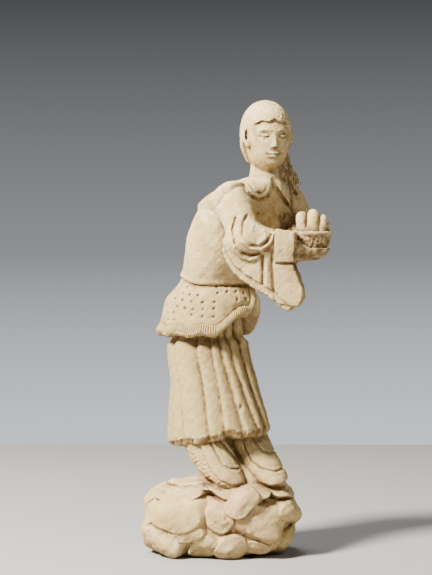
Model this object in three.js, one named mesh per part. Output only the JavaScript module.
// A worshipper carved from one block of limestone: a robed figure that bows on a rock
// and holds out a bowl of fruit. The figure and the rock are one piece of stone.
//
// Millimetres, +Z up. The origin is the middle of the underside. +X runs to the right and
// +Y away from someone who stands before the bowl side.
//
// The stone is written as a distance field, one function for each carved form. A form's
// function gives the distance from a point to its skin, below zero inside the stone. The
// field is then sampled on a grid, skinned, and thinned to few triangles.
import * as THREE from "three";
import { triTable } from "three/addons/objects/MarchingCubes.js";

// Driving dimensions
const ROCK_LENGTH = 186;
const ROCK_DEPTH = 126;
const ROCK_HEIGHT = 88;
const FIGURE_HEIGHT = 453; // from the top of the rock to the crown of the head
const FACING_DEG = 50; // how far the body turns to the right of someone in front
const HEAD_TURN_DEG = 32; // how far the head turns back from the body
const HEAD_BOW_DEG = 7;
const SLEEVE_INWARD_DEG = 28.6; // how far the near sleeve turns in, towards the hand

// Carving, in units of the figure: a 453rd of its height, which is 1 mm at this size
const UNITS_TALL = 453;
const SKIRT_FOLD_DEPTH = 4.6;
const SKIRT_CHAMFER = 8;
const FRINGE_WIDTH = 11;
const FRINGE_FLARE = 4.5;
const FRINGE_SCALLOP = 3;
const JACKET_STEP = 2.6;
const CAPE_RELIEF = 3.6;
const SLEEVE_THICK = 12.5; // half the width of the hanging sleeve at the arm
const SLEEVE_HEM_THICK = 7;
const SLEEVE_FOLD_HEIGHT = 3.2;
const CUFF_RELIEF = 2.4;
const LEG_GROOVE_DEPTH = 3;
const LEG_LAP = 3;
const BOWL_RADIUS = 22.5;
const BOWL_DEPTH = 30;
const HAIR_THICKNESS = 2.2;

// How finely the stone is sampled and how many triangles are kept
const GRID_STEP = 2.4;
const MOST_TRIANGLES = 9600;

const UNIT = FIGURE_HEIGHT / UNITS_TALL;
const { clamp, lerp, smoothstep, degToRad } = THREE.MathUtils;
const facing = { sin: Math.sin(degToRad(FACING_DEG)), cos: Math.cos(degToRad(FACING_DEG)) };
const headTurn = { sin: Math.sin(degToRad(HEAD_TURN_DEG)), cos: Math.cos(degToRad(HEAD_TURN_DEG)) };
const headBow = { sin: Math.sin(degToRad(HEAD_BOW_DEG)), cos: Math.cos(degToRad(HEAD_BOW_DEG)) };
const sleeveTurn = { sin: Math.sin(degToRad(SLEEVE_INWARD_DEG)), cos: Math.cos(degToRad(SLEEVE_INWARD_DEG)) };

// Ways to join forms. The last value is the width of the fillet between them.
function blend(a, b, fillet) {
  if (Math.abs(a - b) >= fillet) return Math.min(a, b);
  const h = (fillet - Math.abs(a - b)) / fillet;
  return Math.min(a, b) - (h * h * fillet) / 4;
}

function common(a, b, fillet) {
  return -blend(-a, -b, fillet);
}

// Simple forms
function ellipsoid(x, y, z, [cx, cy, cz], [rx, ry, rz]) {
  const dx = x - cx;
  const dy = y - cy;
  const dz = z - cz;
  const k = Math.hypot(dx / rx, dy / ry, dz / rz);
  const k2 = Math.hypot(dx / (rx * rx), dy / (ry * ry), dz / (rz * rz));
  return k2 > 1e-9 ? (k * (k - 1)) / k2 : -Math.min(rx, ry, rz);
}

// A limb from point a to point b whose radius runs from ra to rb.
function limb(x, y, z, a, b, ra, rb) {
  const bx = b[0] - a[0];
  const by = b[1] - a[1];
  const bz = b[2] - a[2];
  const along = ((x - a[0]) * bx + (y - a[1]) * by + (z - a[2]) * bz) / (bx * bx + by * by + bz * bz);
  const t = clamp(along, 0, 1);
  return Math.hypot(x - a[0] - t * bx, y - a[1] - t * by, z - a[2] - t * bz) - lerp(ra, rb, t);
}

// A smooth curve through a table's rows, read at height h.
function readRows(rows, h) {
  let i = 0;
  while (i < rows.length - 2 && h > rows[i + 1][0]) i += 1;
  const [p0, p1, p2, p3] = [rows[Math.max(i - 1, 0)], rows[i], rows[i + 1], rows[Math.min(i + 2, rows.length - 1)]];
  const t = clamp((h - p1[0]) / (p2[0] - p1[0]), 0, 1);
  const span = p2[0] - p1[0];
  return p1.slice(1).map((value, k) => {
    const slope1 = ((p2[k + 1] - p0[k + 1]) / (p2[0] - p0[0])) * span;
    const slope2 = ((p3[k + 1] - p1[k + 1]) / (p3[0] - p1[0])) * span;
    const rise = p2[k + 1] - value;
    return value + t * (slope1 + t * (3 * rise - 2 * slope1 - slope2 + t * (slope1 + slope2 - 2 * rise)));
  });
}

// A row has a height, then the section's centre forward, its half depth and its half width.
// The table is read once for each step in height and kept.
function column(rows) {
  const step = 0.5;
  const low = rows[0][0];
  const high = rows[rows.length - 1][0];
  const kept = [];
  for (let h = low; h <= high; h += step) kept.push(readRows(rows, h));
  return (h) => kept[clamp(Math.round((h - low) / step), 0, kept.length - 1)];
}

function ringDistance(du, dv, halfDepth, halfWidth) {
  const k = Math.hypot(du / halfDepth, dv / halfWidth);
  const k2 = Math.hypot(du / (halfDepth * halfDepth), dv / (halfWidth * halfWidth));
  return k2 > 1e-9 ? (k * (k - 1)) / k2 : -Math.min(halfDepth, halfWidth);
}

// Distance to a closed outline of points in a plane, below zero inside.
function outlineDistance(points, px, py) {
  let best = Infinity;
  let inside = false;
  for (let i = 0, j = points.length - 1; i < points.length; j = i, i += 1) {
    const ex = points[j].x - points[i].x;
    const ey = points[j].y - points[i].y;
    const wx = px - points[i].x;
    const wy = py - points[i].y;
    const t = clamp((wx * ex + wy * ey) / (ex * ex + ey * ey), 0, 1);
    best = Math.min(best, Math.hypot(wx - t * ex, wy - t * ey));
    if (points[i].y > py !== points[j].y > py && px < (ex * wy) / ey + points[i].x) inside = !inside;
  }
  return inside ? -best : best;
}

// Distance to an open line of points in a plane.
function trailDistance(points, px, py) {
  let best = Infinity;
  for (let i = 1; i < points.length; i += 1) {
    const ex = points[i][0] - points[i - 1][0];
    const ey = points[i][1] - points[i - 1][1];
    const wx = px - points[i - 1][0];
    const wy = py - points[i - 1][1];
    const t = clamp((wx * ex + wy * ey) / (ex * ex + ey * ey), 0, 1);
    best = Math.min(best, Math.hypot(wx - t * ex, wy - t * ey));
  }
  return best;
}

const outline = (points) => points.map(([x, y]) => new THREE.Vector2(x, y));

// A soft bump that is 1 at the middle and dies away over the width.
const bump = (distance, width) => Math.exp(-((distance / width) ** 2));
const wrapDegrees = (angle) => ((((angle + 180) % 360) + 360) % 360) - 180;

// The skirt: straight carved pleats that fan out to a slanting hem
const skirtAt = column([
  [40, 2, 70, 60],
  [59, -2, 68, 58],
  [113, -10.5, 56, 53],
  [161, -21, 52, 50],
  [190, -20, 50, 48],
  [215, -14, 40, 44],
]);
// Each pleat's angle round the body at the waist and at the hem, 0 being straight ahead.
const SEEN_PLEATS = [[-108, -99], [-66, -62], [-41, -42], [-29, -20], [-15, 0], [8, 16]];
const BACK_PLEATS = 9;
const BACK_PLEATS_FROM = 34;
const BACK_PLEATS_TO = 236;
const PLEATS = [
  ...SEEN_PLEATS,
  ...Array.from({ length: BACK_PLEATS }, (_, i) => {
    const angle = lerp(BACK_PLEATS_FROM, BACK_PLEATS_TO, i / (BACK_PLEATS - 1));
    return [angle, angle];
  }),
];
const HEM_HEIGHT = 46;
const HEM_SLOPE = 0.16; // the hem rises towards the front
const SKIRT_TOP = 205;
const PLEAT_STEEP = 2.4;
const PLEAT_GENTLE = 8;

function pleats(angle, fromHem, radius) {
  let depth = 0;
  for (const [waist, hem] of PLEATS) {
    const arc = degToRad(wrapDegrees(angle - lerp(hem, waist, fromHem))) * radius;
    if (Math.abs(arc) < 30) depth += Math.exp(-Math.abs(arc) / (arc < 0 ? PLEAT_GENTLE : PLEAT_STEEP));
  }
  return depth;
}

function skirt(u, v, h) {
  const [centre, halfDepth, halfWidth] = skirtAt(h);
  const angle = THREE.MathUtils.radToDeg(Math.atan2(v, u - centre));
  const hem = HEM_HEIGHT + HEM_SLOPE * u;
  const fromHem = clamp((h - hem) / 125, 0, 1);
  const folded = SKIRT_FOLD_DEPTH * pleats(angle, fromHem, (halfDepth + halfWidth) / 2);
  const wall = ringDistance(u - centre, v, halfDepth, halfWidth) + folded;
  const chamfer = (wall + hem + SKIRT_CHAMFER - h) * 0.7;
  return common(common(common(wall, chamfer, 1), hem - h, 2), h - SKIRT_TOP, 2);
}

// The skin apron round the hips, with a flared and scalloped fringe
const apronAt = column([
  [160, -22, 63, 57],
  [178, -20, 62, 56],
  [203, -17, 59, 54],
  [218, -14, 56, 53],
  [226, -11, 49, 51],
  [238, -7, 40, 47],
]);
const APRON_EDGE = 172.5;
const APRON_FRONT_RISE = 24; // the edge swings up towards the front
const APRON_SLIT_RISE = 22; // and runs up into a slit that is off the middle
const APRON_SLIT_DEG = 15;
const SCALLOPS = 10;

function apron(u, v, h) {
  const [centre, halfDepth, halfWidth] = apronAt(h);
  const angle = THREE.MathUtils.radToDeg(Math.atan2(v, u - centre));
  const away = angle < APRON_SLIT_DEG ? APRON_SLIT_DEG - angle : 1.15 * (angle - APRON_SLIT_DEG);
  const swing = APRON_FRONT_RISE * (1 - smoothstep(away, 20, 62)) + APRON_SLIT_RISE * (1 - smoothstep(away, 0, 16));
  const scallop = Math.abs(Math.sin((degToRad(angle + 4) * SCALLOPS) / 2)) * FRINGE_SCALLOP;
  const edge = APRON_EDGE + swing + scallop;
  const flare = FRINGE_FLARE * smoothstep(edge + FRINGE_WIDTH - h, 0, FRINGE_WIDTH);
  const wall = ringDistance(u - centre, v, halfDepth, halfWidth) - flare;
  return common(wall, edge - h, 3);
}

// The jacket: the bowed trunk, with a hem that stands proud over the apron's waist
const trunkAt = column([
  [200, -15, 52, 50],
  [222, -10, 38, 46],
  [232, -8, 39.5, 47],
  [262, 6, 46, 52],
  [292, 18, 52, 56],
  [317, 31, 50, 58],
  [332, 36, 45, 56],
  [345, 46, 37, 45],
  [354, 56, 26, 31],
  [362, 62, 19, 20],
]);
const JACKET_HEM = 234;
const JACKET_HEM_RISE = 10; // at the back
const SHOULDER_TOP = 362;
const SHOULDER_SLOPE = 0.46; // the shoulders slope down to the back
const SHOULDER_LEVEL = 335.5; // where that slope meets the figure's upright axis

function trunk(u, v, h) {
  const [centre, halfDepth, halfWidth] = trunkAt(h);
  const wall = ringDistance(u - centre, v, halfDepth, halfWidth);
  const behind = smoothstep(-(u - centre), 0, halfDepth);
  const hem = JACKET_HEM + JACKET_HEM_RISE * behind;
  const step = JACKET_STEP * smoothstep(hem - h, -0.8, 0.8);
  const body = common(wall + step, 205 - h, 4);
  const slope = (h - SHOULDER_LEVEL - SHOULDER_SLOPE * u) * 0.9;
  return common(common(body, slope, 8), h - SHOULDER_TOP, 4);
}

// The arms and their wide sleeves
const NEAR = { shoulder: [58, -46, 330], elbow: [84, -58, 286], wrist: [124, -26, 280] };
const FAR = { shoulder: [63, 49, 332], elbow: [88, 56, 285], wrist: [124, 24, 279] };
const SHOULDER_RADIUS = 21;
const ELBOW_RADIUS = 18;
const WRIST_RADIUS = 13;
const SLEEVE_ELBOW = [80, -54];
const FAR_SLEEVE_V = 38;
const FAR_SLEEVE_INWARD = 0.545;
const CUFF_END = 57; // from the elbow
const INNER_LAYER_DROP = 9;
const FRONT_FALL = 38; // from the elbow to the panel that falls from the cuff

// Distance forward from the elbow along the sleeve, and height.
const NEAR_SLEEVE = outline([
  [-24, 284], [-18, 268], [-12, 259], [-2, 249.5], [12, 240], [24, 233.5], [35, 226], [47, 214],
  [55, 208.5], [64, 210], [70, 220], [69, 231], [63, 248], [57.5, 261], [58, 292.5], [38, 294],
  [24, 299], [10, 307], [-8, 306],
]);
const FAR_SLEEVE = outline([
  [-14, 292], [-34, 268], [-36, 234], [-24, 218], [-8, 211], [3, 215], [3, 229], [-5, 250],
  [1, 271], [32, 276], [34, 290], [8, 304],
]);

function hangingSleeve(edge, along, across, h) {
  const half = lerp(SLEEVE_HEM_THICK, SLEEVE_THICK, smoothstep(h, 205, 285));
  const outer = common(outlineDistance(edge, along, h), Math.abs(across) - half, 4);
  const lining = Math.abs(across - half * 0.4) - half * 0.55;
  const drop = INNER_LAYER_DROP * (1 - smoothstep(along, FRONT_FALL, FRONT_FALL + 14));
  const inner = common(outlineDistance(edge, along + 1, h + drop), lining, 3);
  return Math.min(outer, inner);
}

// Ridges and grooves of the sleeve. The two swags under the elbow come first.
const SLEEVE_FOLDS = [
  { path: [[36, 293], [33, 282], [22, 275], [10, 276], [3, 284]], width: 2.3, height: SLEEVE_FOLD_HEIGHT },
  { path: [[25, 273], [17, 266.5], [9, 263], [0, 266], [-7, 276], [-10, 286]], width: 2.3, height: 2.8 },
  { path: [[25, 297], [28, 289], [19, 280]], width: 2, height: 2 },
  { path: [[31, 288], [27.5, 281.5], [20, 279], [12, 280]], width: 2, height: -2 },
  { path: [[31, 276], [22, 270.5], [10, 269], [1, 272]], width: 2, height: -2 },
  { path: [[33.5, 292], [33.5, 262], [34.5, 228]], width: 2, height: -3 },
  { path: [[22.5, 268], [23, 250], [22, 236]], width: 2, height: -2.2 },
  { path: [[4, 314], [1, 304], [2, 292]], width: 2, height: -1.8 },
  { path: [[-8, 311], [-11, 298], [-7, 282]], width: 2, height: -2 },
];

function sleeveCarving(along, h) {
  let raised = 0;
  for (const { path, width, height } of SLEEVE_FOLDS) {
    raised += height * bump(trailDistance(path, along, h), width);
  }
  const cuff = smoothstep(along, 36.5, 38.5) * smoothstep(h, 260, 262);
  const stepBack = 1.2 * smoothstep(along, 34, 36) * (1 - cuff);
  return raised + CUFF_RELIEF * cuff - stepBack;
}

function arm({ shoulder, elbow, wrist }, u, v, h) {
  const upper = limb(u, v, h, shoulder, elbow, SHOULDER_RADIUS, ELBOW_RADIUS);
  const fore = limb(u, v, h, elbow, wrist, ELBOW_RADIUS, WRIST_RADIUS);
  return blend(upper, fore, 6);
}

function nearArm(u, v, h) {
  const du = u - SLEEVE_ELBOW[0];
  const dv = v - SLEEVE_ELBOW[1];
  const along = du * sleeveTurn.cos + dv * sleeveTurn.sin;
  const across = du * sleeveTurn.sin - dv * sleeveTurn.cos;
  const sleeve = hangingSleeve(NEAR_SLEEVE, along, across, h);
  const outside = smoothstep(across, -4, 6);
  const whole = blend(common(arm(NEAR, u, v, h), along - CUFF_END, 2), sleeve, 8);
  return whole - outside * sleeveCarving(along, h);
}

function farArm(u, v, h) {
  const middle = FAR_SLEEVE_V - FAR_SLEEVE_INWARD * Math.max(u - 84, 0);
  const sleeve = hangingSleeve(FAR_SLEEVE, u - SLEEVE_ELBOW[0], v - middle, h);
  return blend(arm(FAR, u, v, h), sleeve, 14);
}

// The cape over the shoulders: a lobe on each breast and a wide one down the back
const NECK_ROOT = [67, 0, 360];
const BACK_REACH = 100;
const BACK_RELIEF = 2.4;
// A lobe's edge: distance across the figure as someone in front sees it, and height.
const LOBE = outline([
  [57, 375], [58.5, 357], [58.5, 349], [55.5, 341.5], [50, 336.5], [43, 335], [36, 338],
  [31, 343], [27, 350], [18, 356], [18, 375],
]);
// The edge over the back: angle from straight ahead, and reach from the neck.
const BACK_EDGE = [
  [0, 10], [70, 32], [76, 38], [80, 47], [86, 61], [95, 70], [120, 76], [140, 84], [180, 100],
];

function reachAt(turn) {
  const i = clamp(BACK_EDGE.findIndex(([angle]) => angle > turn), 1, BACK_EDGE.length - 1);
  const [from, reach] = BACK_EDGE[i - 1];
  const [to, next] = BACK_EDGE[i];
  return lerp(reach, next, clamp((turn - from) / (to - from), 0, 1));
}

function cape(u, v, h) {
  const turn = Math.abs(THREE.MathUtils.radToDeg(Math.atan2(v, u - NECK_ROOT[0] + 7)));
  const fromNeck = Math.hypot(u - NECK_ROOT[0], v, h - NECK_ROOT[2]);
  const across = u * facing.sin - Math.abs(v) * facing.cos;
  const ahead = Math.min(-outlineDistance(LOBE, across, h), 82 - turn);
  const inside = Math.max(ahead, Math.min(reachAt(turn), BACK_REACH) - fromNeck);
  const relief = lerp(CAPE_RELIEF, BACK_RELIEF, smoothstep(turn, 95, 130));
  return relief * (smoothstep(inside, -1, 1) - 0.4 * bump(inside + 2.4, 2));
}

// The head, in its own frame: a forward, b to its left, c up, from the middle of the head
const HEAD_CENTRE = [69, 0, 410];
const HAIRLINE = 17.5;
const NECK_RADIUS = 16.5;
const NECK_FOOT = [62, 3, 346];
const NECK_HEAD = [65, 5, 388];

function headFrame(u, v, h) {
  const du = u - HEAD_CENTRE[0];
  const dv = v - HEAD_CENTRE[1];
  const dh = h - HEAD_CENTRE[2];
  const level = du * headTurn.cos - dv * headTurn.sin;
  const left = du * headTurn.sin + dv * headTurn.cos;
  return [level * headBow.cos - dh * headBow.sin, left, level * headBow.sin + dh * headBow.cos];
}

function nose(a, b, c) {
  const bridge = limb(a, b, c, [27.5, 0, 3], [32.5, 0, -9], 2.2, 3.4);
  const wings = limb(a, b, c, [30, -3, -10.5], [30, 3, -10.5], 2.2, 2.2);
  return blend(bridge, wings, 3);
}

function lips(a, b, c) {
  return ellipsoid(a, b, c, [28, 0, -20], [4.2, 7, 3.6]);
}

function ear(a, b, c) {
  const shell = ellipsoid(a, Math.abs(b), c, [2, 28.5, -2], [6, 4.6, 12]);
  const hollow = ellipsoid(a, Math.abs(b), c, [3.6, 32.6, 1.5], [3.2, 3, 6.4]);
  return common(shell, -hollow, 1.5);
}

function hairThickness(a, b, c) {
  const wave = 2.4 * bump(b, 4) + 0.8 * bump(Math.abs(b) - 15, 6) - 14 * (b / 27) ** 6;
  const aboveBrow = smoothstep(c - HAIRLINE - wave, -0.8, 0.8);
  const behindEar = smoothstep(-4 - a, -1, 1) * smoothstep(c, -34, -26);
  return HAIR_THICKNESS * Math.max(aboveBrow, behindEar);
}

function head(a, b, c) {
  const skull = ellipsoid(a, b, c, [-4, 0, 6], [34, 28, 34]);
  const jaw = ellipsoid(a, b, c, [6, 0, -12], [24, 25, 31.5]);
  const shaped = blend(skull, jaw, 10);
  const sockets = bump(Math.abs(b) - 10, 6.5) * bump(c - 1, 4.5) * smoothstep(a, 10, 20) * 2.2;
  const face = blend(blend(shaped + sockets, nose(a, b, c), 3), lips(a, b, c), 3);
  return blend(face - hairThickness(a, b, c), ear(a, b, c), 1.5);
}

// Locks of hair that fall from behind the left ear over the far shoulder
const LOCKS = 3;
const LOCK_ROOT = [70, 30, 392];
const LOCK_BEND = [72, 37, 362];
const LOCK_TIP = [77, 40, 341];

function hairLocks(u, v, h) {
  let d = ellipsoid(u, v, h, [64, 22, 370], [13, 17, 30]);
  for (let i = 0; i < LOCKS; i += 1) {
    const spread = i - (LOCKS - 1) / 2;
    const root = [LOCK_ROOT[0] + 2 * spread, LOCK_ROOT[1], LOCK_ROOT[2]];
    const bend = [LOCK_BEND[0] + 4 * spread, LOCK_BEND[1] + 3 * spread, LOCK_BEND[2]];
    const tip = [LOCK_TIP[0] + 6 * spread, LOCK_TIP[1] + 6 * spread, LOCK_TIP[2] + 3 * i];
    const lock = blend(limb(u, v, h, root, bend, 5, 5), limb(u, v, h, bend, tip, 5, 2.2), 3);
    d = blend(d, lock, 1.5);
  }
  return d;
}

function neck(u, v, h) {
  return limb(u, v, h, NECK_FOOT, NECK_HEAD, NECK_RADIUS + 1.5, NECK_RADIUS);
}

// The offering: a bowl on the right hand and steadied by the left, heaped with long fruit
const BOWL = [136, 0, 295]; // the middle of its rim
const HAND_BELOW_RIM = 18.5;
const THUMB_SLOPE = 0.7;
const THUMB_ROOT = 101; // across the front, where the thumb's slope starts
const FRUIT = [
  { at: [-10, -6], radius: 6.6, tall: 24 },
  { at: [5, -4], radius: 6.8, tall: 26.5 },
  { at: [13.5, 3], radius: 4.6, tall: 20 },
  { at: [14, 10], radius: 3.8, tall: 13 },
  { at: [-3, 8], radius: 6.2, tall: 22 },
  { at: [6, 12], radius: 4.8, tall: 17 },
];

function bowl(u, v, h) {
  const shell = ellipsoid(u, v, h, BOWL, [BOWL_RADIUS, BOWL_RADIUS, BOWL_DEPTH]);
  const rim = Math.hypot(Math.hypot(u - BOWL[0], v - BOWL[1]) - BOWL_RADIUS + 1, h - BOWL[2] + 1) - 1.8;
  return Math.min(common(shell, h - BOWL[2], 1), rim);
}

function fruit(u, v, h) {
  let d = Infinity;
  for (const { at, radius, tall } of FRUIT) {
    const foot = [BOWL[0] + at[0] * 0.9, BOWL[1] + at[1] * 0.9, BOWL[2] - 4];
    const top = [BOWL[0] + at[0], BOWL[1] + at[1], BOWL[2] + tall - radius];
    d = Math.min(d, limb(u, v, h, foot, top, radius + 0.6, radius));
  }
  return d;
}

function hands(u, v, h) {
  const nearHand = ellipsoid(u, v, h, [134.5, -3, 288], [23.5, 22, 25]);
  const nearWrist = limb(u, v, h, NEAR.wrist, [130, -14, 279], WRIST_RADIUS - 0.5, 13);
  const farHand = ellipsoid(u, v, h, [134, 8, 287], [22, 16, 22]);
  const farWrist = limb(u, v, h, FAR.wrist, [129, 14, 279], WRIST_RADIUS - 1, 11);
  const palms = blend(blend(nearHand, nearWrist, 5), blend(farHand, farWrist, 5), 3);
  const across = u * facing.sin + v * facing.cos;
  const upperEdge = BOWL[2] - HAND_BELOW_RIM + THUMB_SLOPE * clamp(THUMB_ROOT - across, 0, 24);
  return common(palms, h - upperEdge, 4);
}

// Each leg is a tongue of cloth that sweeps forward over the shoe, with nested grooves
const nearLegAt = column([
  [-4, 31, 14, 14],
  [2, 29, 19, 17],
  [8, 22, 24, 20],
  [22, 10, 28, 22],
  [40, -2, 29, 23],
  [64, -12, 28, 23],
]);
const farLegAt = column([
  [-4, 66, 13, 13],
  [2, 62, 17, 16],
  [8, 57, 20, 18],
  [20, 45, 24, 20],
  [36, 32, 26, 21],
  [64, 12, 28, 22],
]);
const NEAR_LEG_V = -24;
const FAR_LEG_V = 20;
const LEG_TOP = 62;
// The tongues and their folds: distance across the figure as someone in front sees it, and height.
const NEAR_TONGUE = outline([
  [-27, 72], [-25, 49], [-21, 36], [-16.5, 25], [-9, 14], [-1, 6], [12, 1], [27, -2], [45, -4], [45, 72],
]);
const NEAR_FOLDS = [
  [[-15, 52], [-5, 35], [2, 22.5], [10, 18.5], [20, 17]],
  [[-2, 52], [9, 37], [20, 24]],
];
const FAR_TONGUE = outline([
  [5, 72], [9.4, 46], [13, 36], [18, 27], [28, 12], [40, 1.5], [55, -2], [69, -1], [80, 4], [95, 10], [95, 72],
]);
const FAR_FOLDS = [
  [[26, 52], [29.5, 38], [36.5, 25], [48, 17], [63.5, 13.5], [74, 16]],
  [[39, 52], [42.5, 44], [48.5, 37], [58, 34], [68, 36]],
];

function leg(sectionAt, middle, tongue, folds, u, v, h) {
  const [centre, halfDepth, halfWidth] = sectionAt(h);
  const wall = ringDistance(u - centre, v - middle, halfDepth, halfWidth);
  const across = u * facing.sin + v * facing.cos;
  const front = smoothstep(-outlineDistance(tongue, across, h), -1.2, 1.2);
  const grooves = folds.reduce((sum, path) => sum + bump(trailDistance(path, across, h), 2), 0);
  const carved = wall - LEG_LAP * front + LEG_GROOVE_DEPTH * front * grooves;
  return common(common(carved, h - LEG_TOP, 4), -4 - h, 5);
}

function legs(u, v, h) {
  const web = limb(u, v, h, [10, 0, 24], [42, 2, 0], 15, 14);
  const between = blend(ellipsoid(u, v, h, [-2, 0, 22], [26, 26, 46]), web, 6);
  const nearLeg = leg(nearLegAt, NEAR_LEG_V, NEAR_TONGUE, NEAR_FOLDS, u, v, h);
  const farLeg = leg(farLegAt, FAR_LEG_V, FAR_TONGUE, FAR_FOLDS, u, v, h);
  return Math.min(nearLeg, farLeg, between);
}

// The whole figure, in its own frame: u forward, v to its left, h above the rock
function figure(u, v, h) {
  let d = Infinity;
  if (h < 85) d = legs(u, v, h);
  if (h > 30 && h < 230) d = Math.min(d, skirt(u, v, h));
  if (h > 150 && h < 250) d = Math.min(d, apron(u, v, h));
  if (h < 190) return d;
  const body = h > 320 ? blend(trunk(u, v, h), neck(u, v, h), 5) : trunk(u, v, h);
  const arms = h < 375 ? (v < 0 ? nearArm(u, v, h) : farArm(u, v, h)) : Infinity;
  const dressed = blend(body, arms, lerp(4, 16, smoothstep(h, 275, 325)));
  d = Math.min(d, dressed - (h > 280 ? cape(u, v, h) : 0));
  if (u > 85 && h < 340) {
    d = Math.min(d, blend(hands(u, v, h), Math.min(bowl(u, v, h), fruit(u, v, h)), 1));
  }
  if (h > 320) {
    d = blend(d, head(...headFrame(u, v, h)), 2);
    d = blend(d, hairLocks(u, v, h), 2);
  }
  return d;
}

// The rock: scales of stone that lie over each other. A scale's place is given in shares of
// the rock's half length, half depth and height, and so is its reach. It stands out from the
// core by its relief, in mm.
const ROCK_CORE = 0.9;
const SCALES = [
  { at: [0, 0, 1], size: [1.1, 1.2, 0.16], relief: 10 },
  { at: [-0.58, -0.3, 0.93], size: [0.42, 0.8, 0.15], relief: 9 },
  { at: [0.22, -0.5, 0.95], size: [0.42, 0.8, 0.2], relief: 13 },
  { at: [0.26, -0.6, 0.78], size: [0.23, 0.6, 0.25], relief: 14 },
  { at: [0.82, -0.3, 0.92], size: [0.26, 0.6, 0.17], relief: 12 },
  { at: [-0.5, -0.6, 0.58], size: [0.4, 0.6, 0.27], relief: 10.5 },
  { at: [-0.44, -0.6, 0.37], size: [0.3, 0.6, 0.15], relief: 7.5 },
  { at: [0, -0.6, 0.55], size: [0.23, 0.6, 0.25], relief: 7 },
  { at: [0.48, -0.6, 0.5], size: [0.38, 0.6, 0.28], relief: 8.5 },
  { at: [0.86, -0.3, 0.6], size: [0.24, 0.6, 0.18], relief: 10 },
  { at: [-0.24, -0.7, 0.16], size: [0.2, 0.6, 0.2], relief: 5 },
  { at: [0.1, -0.7, 0.16], size: [0.22, 0.6, 0.22], relief: 7 },
  { at: [0.42, -0.7, 0.16], size: [0.2, 0.6, 0.1], relief: 4.5 },
  { at: [-0.8, -0.4, 0.2], size: [0.4, 0.7, 0.26], relief: 9 },
  { at: [-0.92, -0.2, 0.6], size: [0.2, 0.8, 0.18], relief: 7 },
];
const BACK_SCALES = 12;
const SCALE_SWELL = 0.35; // how much more a scale stands out in its middle

function rockCore(x, y, z) {
  const half = [(ROCK_LENGTH / 2) * ROCK_CORE, (ROCK_DEPTH / 2) * ROCK_CORE, ROCK_HEIGHT * 0.46];
  const q = [Math.abs(x) / half[0], Math.abs(y) / half[1], Math.abs(z - ROCK_HEIGHT * 0.43) / half[2]];
  const k = Math.cbrt(q[0] ** 3 + q[1] ** 3 + q[2] ** 3);
  const slope = Math.hypot(q[0] ** 2 / half[0], q[1] ** 2 / half[1], q[2] ** 2 / half[2]);
  return k > 0.2 ? ((k - 1) * k * k) / slope : -half[2] * 0.5;
}

function scaleHeight(x, y, z, { at, size, relief }) {
  const centre = [(at[0] * ROCK_LENGTH) / 2, (at[1] * ROCK_DEPTH) / 2, at[2] * ROCK_HEIGHT];
  const reach = [(size[0] * ROCK_LENGTH) / 2, (size[1] * ROCK_DEPTH) / 2, size[2] * ROCK_HEIGHT];
  const inside = -ellipsoid(x, y, z, centre, reach);
  return relief * smoothstep(inside, -1, 2.5) * (1 + SCALE_SWELL * smoothstep(inside, 0, 22));
}

const BACK = Array.from({ length: BACK_SCALES }, (_, i) => {
  const turn = degToRad(lerp(-4, 184, ((i * 5) % BACK_SCALES) / (BACK_SCALES - 1)));
  const level = [0.2, 0.52, 0.8][i % 3];
  const at = [0.85 * Math.cos(turn), 0.75 * Math.sin(turn), level];
  return { at, size: [0.34 + 0.03 * (i % 4), 0.6, 0.21], relief: 4 + 7 * level + (i % 2) };
});

function rock(x, y, z) {
  const wx = x + 2.6 * Math.sin(z * 0.11 + y * 0.07) + 1.2 * Math.sin(z * 0.23);
  const wy = y + 2.6 * Math.sin(x * 0.09 + z * 0.13);
  const wz = z + 1.8 * Math.sin(x * 0.12 + 1) + 1.4 * Math.sin(y * 0.15 + x * 0.05);
  const core = rockCore(wx, wy, wz);
  if (core > 30 || core < -20) return Math.max(core - 12, -z);
  let height = 0;
  for (const scale of SCALES) height = Math.max(height, scaleHeight(wx, wy, wz, scale));
  for (const scale of BACK) height = Math.max(height, scaleHeight(wx, wy, wz, scale));
  return common(core - height, -z, 3);
}

function stone(x, y, z) {
  const u = (x * facing.sin - y * facing.cos) / UNIT;
  const v = (x * facing.cos + y * facing.sin) / UNIT;
  const h = (z - ROCK_HEIGHT) / UNIT;
  const carved = h > -8 ? figure(u, v, h) * UNIT : Infinity;
  return z < ROCK_HEIGHT + 14 ? blend(carved, rock(x, y, z), 2) : carved;
}

// Keeps the largest of the closed skins, so no bubble is left inside the stone.
function outerSkin(faces, count) {
  const parent = Int32Array.from({ length: count }, (_, i) => i);
  const root = (n) => {
    while (parent[n] !== n) {
      parent[n] = parent[parent[n]];
      n = parent[n];
    }
    return n;
  };
  faces.forEach((n, i) => {
    if (i % 3) parent[root(n)] = root(faces[i - 1]);
  });
  const sizes = new Uint32Array(count);
  faces.forEach((n) => (sizes[root(n)] += 1));
  const largest = sizes.indexOf(sizes.reduce((a, b) => Math.max(a, b)));
  return faces.filter((n) => root(n) === largest);
}

// Skins the field with marching cubes. Blocks of cells that lie far from the skin are skipped.
const CORNERS = [[0, 0, 0], [1, 0, 0], [1, 1, 0], [0, 1, 0], [0, 0, 1], [1, 0, 1], [1, 1, 1], [0, 1, 1]];
const EDGES = [
  [0, 1], [1, 2], [2, 3], [3, 0], [4, 5], [5, 6], [6, 7], [7, 4], [0, 4], [1, 5], [2, 6], [3, 7],
];

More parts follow.
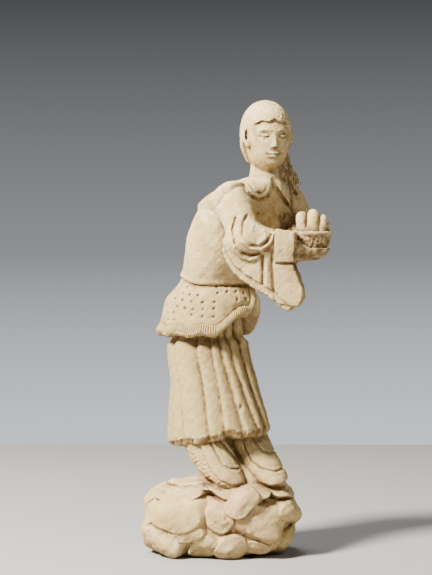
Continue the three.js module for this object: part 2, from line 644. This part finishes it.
function skin(field, low, high, step) {
  const size = low.map((value, k) => Math.ceil((high[k] - value) / step) + 1);
  const index = (i, j, k) => i + size[0] * (j + size[1] * k);
  const values = new Float32Array(size[0] * size[1] * size[2]).fill(NaN);
  const block = 4;
  const reach = block * step * 1.6;
  const at = (i, j, k) => field(low[0] + i * step, low[1] + j * step, low[2] + k * step);
  for (let k = 0; k < size[2]; k += block)
    for (let j = 0; j < size[1]; j += block)
      for (let i = 0; i < size[0]; i += block) {
        const middle = at(i + block / 2, j + block / 2, k + block / 2);
        for (let c = k; c < Math.min(k + block, size[2]); c += 1)
          for (let b = j; b < Math.min(j + block, size[1]); b += 1)
            for (let a = i; a < Math.min(i + block, size[0]); a += 1)
              values[index(a, b, c)] = Math.abs(middle) > reach ? middle : at(a, b, c);
      }
  const points = [];
  const faces = [];
  const known = new Map();
  for (let k = 0; k < size[2] - 1; k += 1)
    for (let j = 0; j < size[1] - 1; j += 1)
      for (let i = 0; i < size[0] - 1; i += 1) {
        let signs = 0;
        CORNERS.forEach(([a, b, c], n) => {
          if (values[index(i + a, j + b, k + c)] < 0) signs |= 1 << n;
        });
        if (signs === 0 || signs === 255) continue;
        const row = signs * 16;
        for (let n = 0; triTable[row + n] !== -1; n += 1) {
          const [from, to] = EDGES[triTable[row + n]].map((corner) => {
            const [a, b, c] = CORNERS[corner];
            return [i + a, j + b, k + c];
          });
          const [ia, ib] = [index(...from), index(...to)];
          const key = Math.min(ia, ib) * 8 + Math.round(Math.log2(Math.abs(ib - ia) + 1));
          if (!known.has(key)) {
            const share = clamp(values[ia] / (values[ia] - values[ib]), 0.03, 0.97);
            known.set(key, points.length);
            points.push(from.map((value, axis) => low[axis] + lerp(value, to[axis], share) * step));
          }
          faces.push(known.get(key));
        }
      }
  return { points, faces: outerSkin(faces.reverse(), points.length) };
}

// Merges edges, cheapest first, until few enough triangles are left. The cost of a merge is
// the squared distance to the planes of the triangles that have met there.
class Heap {
  items = [];
  push(item) {
    let i = this.items.push(item) - 1;
    while (i > 0 && this.items[(i - 1) >> 1].cost > item.cost) {
      this.items[i] = this.items[(i - 1) >> 1];
      i = (i - 1) >> 1;
    }
    this.items[i] = item;
  }
  pop() {
    const top = this.items[0];
    const last = this.items.pop();
    const count = this.items.length;
    let i = 0;
    while (2 * i + 1 < count) {
      let child = 2 * i + 1;
      if (child + 1 < count && this.items[child + 1].cost < this.items[child].cost) child += 1;
      if (this.items[child].cost >= last.cost) break;
      this.items[i] = this.items[child];
      i = child;
    }
    if (count) this.items[i] = last;
    return top;
  }
}

function normalOf(p, q, r) {
  const [ax, ay, az] = [q[0] - p[0], q[1] - p[1], q[2] - p[2]];
  const [bx, by, bz] = [r[0] - p[0], r[1] - p[1], r[2] - p[2]];
  return [ay * bz - az * by, az * bx - ax * bz, ax * by - ay * bx];
}

function planeQuadric(p, q, r) {
  const n = normalOf(p, q, r);
  const area = Math.hypot(...n) || 1e-12;
  const [a, b, c] = n.map((value) => value / area);
  const d = -(a * p[0] + b * p[1] + c * p[2]);
  return [a * a, a * b, a * c, a * d, b * b, b * c, b * d, c * c, c * d, d * d].map((value) => (value * area) / 2);
}

function quadricCost(m, [x, y, z]) {
  return (
    m[0] * x * x + 2 * m[1] * x * y + 2 * m[2] * x * z + 2 * m[3] * x +
    m[4] * y * y + 2 * m[5] * y * z + 2 * m[6] * y + m[7] * z * z + 2 * m[8] * z + m[9]
  );
}

function bestPoint(m, p, q) {
  const middle = p.map((value, k) => (value + q[k]) / 2);
  const matrix = new THREE.Matrix3().set(m[0], m[1], m[2], m[1], m[4], m[5], m[2], m[5], m[7]);
  const choices = [p, q, middle];
  const scale = m[0] + m[4] + m[7];
  if (Math.abs(matrix.determinant()) > 1e-4 * scale ** 3) {
    const v = new THREE.Vector3(-m[3], -m[6], -m[8]).applyMatrix3(matrix.invert());
    const far = Math.hypot(v.x - middle[0], v.y - middle[1], v.z - middle[2]);
    if (far < 2 * Math.hypot(p[0] - q[0], p[1] - q[1], p[2] - q[2])) choices.push([v.x, v.y, v.z]);
  }
  return choices
    .map((place) => ({ place, cost: Math.max(quadricCost(m, place), 0) }))
    .reduce((a, b) => (b.cost < a.cost ? b : a));
}

function thinOut(points, faces, most) {
  const triangles = [];
  for (let i = 0; i < faces.length; i += 3) triangles.push([faces[i], faces[i + 1], faces[i + 2]]);
  const around = points.map(() => new Set());
  const quadrics = points.map(() => new Array(10).fill(0));
  const version = new Uint32Array(points.length);
  triangles.forEach((triangle, t) => {
    const q = planeQuadric(...triangle.map((n) => points[n]));
    for (const n of triangle) {
      around[n].add(t);
      q.forEach((value, k) => (quadrics[n][k] += value));
    }
  });
  const heap = new Heap();
  const offer = (a, b) => {
    const m = quadrics[a].map((value, k) => value + quadrics[b][k]);
    const { place, cost } = bestPoint(m, points[a], points[b]);
    const long = (points[a][0] - points[b][0]) ** 2 + (points[a][1] - points[b][1]) ** 2 + (points[a][2] - points[b][2]) ** 2;
    heap.push({ cost: cost + 1e-5 * long, a, b, place, stamp: version[a] + version[b] });
  };
  const neighbours = (n) => new Set([...around[n]].flatMap((t) => triangles[t]).filter((m) => m !== n));
  const flips = (n, other, place) =>
    [...around[n]].some((t) => {
      if (triangles[t].includes(other)) return false;
      const before = triangles[t].map((m) => points[m]);
      const after = triangles[t].map((m) => (m === n ? place : points[m]));
      const [a, b] = [normalOf(...before), normalOf(...after)];
      const dot = a[0] * b[0] + a[1] * b[1] + a[2] * b[2];
      return dot < 0.25 * Math.hypot(...a) * Math.hypot(...b) + 1e-9;
    });
  points.forEach((_, a) => {
    for (const b of neighbours(a)) if (a < b) offer(a, b);
  });
  let left = triangles.length;
  while (left > most && heap.items.length) {
    const { a, b, place, stamp } = heap.pop();
    if (!around[a].size || !around[b].size || stamp !== version[a] + version[b]) continue;
    const beside = neighbours(b);
    if (!beside.has(a)) continue;
    if ([...neighbours(a)].filter((n) => beside.has(n)).length !== 2) continue;
    if (flips(a, b, place) || flips(b, a, place)) continue;
    for (const t of around[b]) {
      if (triangles[t].includes(a)) {
        triangles[t].forEach((n) => around[n].delete(t));
        triangles[t] = null;
        left -= 1;
      } else {
        triangles[t] = triangles[t].map((n) => (n === b ? a : n));
        around[a].add(t);
      }
    }
    around[b].clear();
    points[a] = place;
    quadrics[a] = quadrics[a].map((value, k) => value + quadrics[b][k]);
    version[a] += 1;
    version[b] += 1;
    for (const n of neighbours(a)) offer(a, n);
  }
  return triangles.filter(Boolean);
}

function carve() {
  const low = [-ROCK_LENGTH / 2 - 14, -ROCK_DEPTH / 2 - 80 * UNIT, -8];
  const high = [Math.max(ROCK_LENGTH / 2, 125 * UNIT) + 14, ROCK_DEPTH / 2 + 24, ROCK_HEIGHT + FIGURE_HEIGHT + 10];
  const { points, faces } = skin(stone, low, high, GRID_STEP);
  const kept = thinOut(points, faces, MOST_TRIANGLES);
  const used = [...new Set(kept.flat())];
  const place = new Map(used.map((n, i) => [n, i]));
  const geometry = new THREE.BufferGeometry();
  geometry.setAttribute("position", new THREE.Float32BufferAttribute(used.flatMap((n) => points[n]), 3));
  geometry.setIndex(kept.flatMap((triangle) => triangle.map((n) => place.get(n))));
  geometry.computeVertexNormals();
  return geometry;
}

const limestone = new THREE.MeshStandardMaterial({ color: 0xd9c9ab, roughness: 0.93, metalness: 0 });
const worshipper = new THREE.Mesh(carve(), limestone);
worshipper.name = "worshipper_figure";

const group = new THREE.Group();
group.add(worshipper);
export default group;
